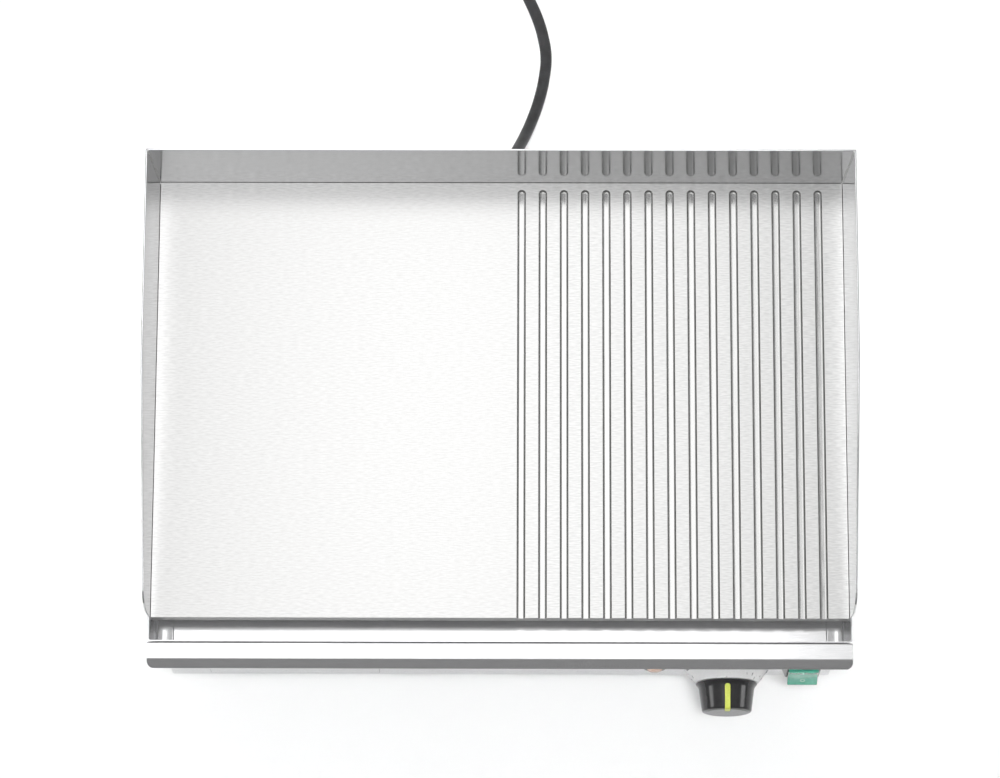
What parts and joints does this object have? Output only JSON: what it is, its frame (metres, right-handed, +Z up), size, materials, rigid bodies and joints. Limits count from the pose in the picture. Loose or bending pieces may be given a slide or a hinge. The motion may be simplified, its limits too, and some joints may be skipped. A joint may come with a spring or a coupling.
{
  "type": "flat top griddle",
  "caption": "Electric countertop griddle with a half ribbed steel plate, splash guard on three sides, grease gutter, thermostat knob, rocker switch, drip tray, levelling feet and mains cord.",
  "frame": {"origin": "middle of the footprint at table level, measured without the mains cord", "axes": "+X to the right seen from the front, +Y to the rear, +Z up; the front with the knob faces -Y"},
  "size_m": [0.5508, 0.7846, 0.24],
  "materials": {
    "plate_steel": "fine brushed",
    "stainless": "satin to bright",
    "galvanised": "dull zinc",
    "element_steel": "dark oxidised",
    "ceramic_wool": "matt fibre",
    "ceramic": "glazed ceramic",
    "brass": "bright",
    "black_plastic": "satin moulded",
    "amber": "translucent",
    "silver_plastic": "satin silver",
    "pointer_green": "matt",
    "switch_green": "glossy translucent",
    "rubber": "matt"
  },
  "bodies": {
    "root": {"griddle_plate": "plate_steel", "splash_back": "stainless", "splash_left": "stainless", "splash_right": "stainless", "grease_gutter": "stainless", "drain_pipe": "stainless", "front_rim": "stainless", "control_panel": "stainless", "left_side_panel": "stainless", "right_side_panel": "stainless", "rear_panel": "stainless", "base_pan": "galvanised", "heat_shield": "galvanised", "tray_rail_left": "galvanised", "tray_rail_right": "galvanised", "clamp_bar_front": "galvanised", "clamp_bar_rear": "galvanised", "clamp_stud_front_left": "galvanised", "clamp_stud_front_right": "galvanised", "clamp_stud_rear_left": "galvanised", "clamp_stud_rear_right": "galvanised", "clamp_nut_front_left": "galvanised", "clamp_nut_front_right": "galvanised", "clamp_nut_rear_left": "galvanised", "clamp_nut_rear_right": "galvanised", "thermostat_body": "galvanised", "heating_element_left": "element_steel", "heating_element_right": "element_steel", "insulation_blanket": "ceramic_wool", "terminal_block": "ceramic", "thermostat_bulb": "brass", "capillary_tube": "brass", "plug_pin_front": "brass", "plug_pin_rear": "brass", "pilot_lamp_bezel": "black_plastic", "switch_housing": "black_plastic", "limit_thermostat": "black_plastic", "gland_nut": "black_plastic", "cord_tie": "black_plastic", "pilot_lamp_lens": "amber", "dial_ring": "silver_plastic", "strain_relief": "rubber", "power_cord": "rubber", "cord_coil": "rubber", "mains_plug": "rubber"},
    "knob": {"knob": "black_plastic", "knob_pointer": "pointer_green", "thermostat_shaft": "galvanised"},
    "rocker": {"switch_rocker": "switch_green"},
    "tray": {"drip_tray": "stainless"},
    "reset_button": {"reset_button": "rubber"},
    "foot_front_left": {"foot_pad_front_left": "rubber", "foot_stem_front_left": "galvanised"},
    "foot_front_right": {"foot_pad_front_right": "rubber", "foot_stem_front_right": "galvanised"},
    "foot_rear_left": {"foot_pad_rear_left": "rubber", "foot_stem_rear_left": "galvanised"},
    "foot_rear_right": {"foot_pad_rear_right": "rubber", "foot_stem_rear_right": "galvanised"}
  },
  "joints": [
    {"name": "knob_turn", "type": "hinge", "parent": "root", "child": "knob", "pos_m": [0.1771, -0.16725, 0.102], "axis": [0, 1, 0], "range_deg": [0, 285]},
    {"name": "rocker_tilt", "type": "hinge", "parent": "root", "child": "rocker", "pos_m": [0.237, -0.17365, 0.102], "axis": [1, 0, 0], "range_deg": [0, 21.4]},
    {"name": "tray_slide", "type": "slide", "parent": "root", "child": "tray", "axis": [0, -1, 0], "range_m": [0, 0.15]},
    {"name": "reset_press", "type": "slide", "parent": "root", "child": "reset_button", "axis": [0, -1, 0], "range_m": [0, 0.002], "stiffness_N_per_m": 300, "springref_m": -0.002},
    {"name": "foot_front_left_level", "type": "slide", "parent": "root", "child": "foot_front_left", "axis": [0, 0, -1], "range_m": [0, 0.01]},
    {"name": "foot_front_right_level", "type": "slide", "parent": "root", "child": "foot_front_right", "axis": [0, 0, -1], "range_m": [0, 0.01]},
    {"name": "foot_rear_left_level", "type": "slide", "parent": "root", "child": "foot_rear_left", "axis": [0, 0, -1], "range_m": [0, 0.01]},
    {"name": "foot_rear_right_level", "type": "slide", "parent": "root", "child": "foot_rear_right", "axis": [0, 0, -1], "range_m": [0, 0.01]}
  ]
}
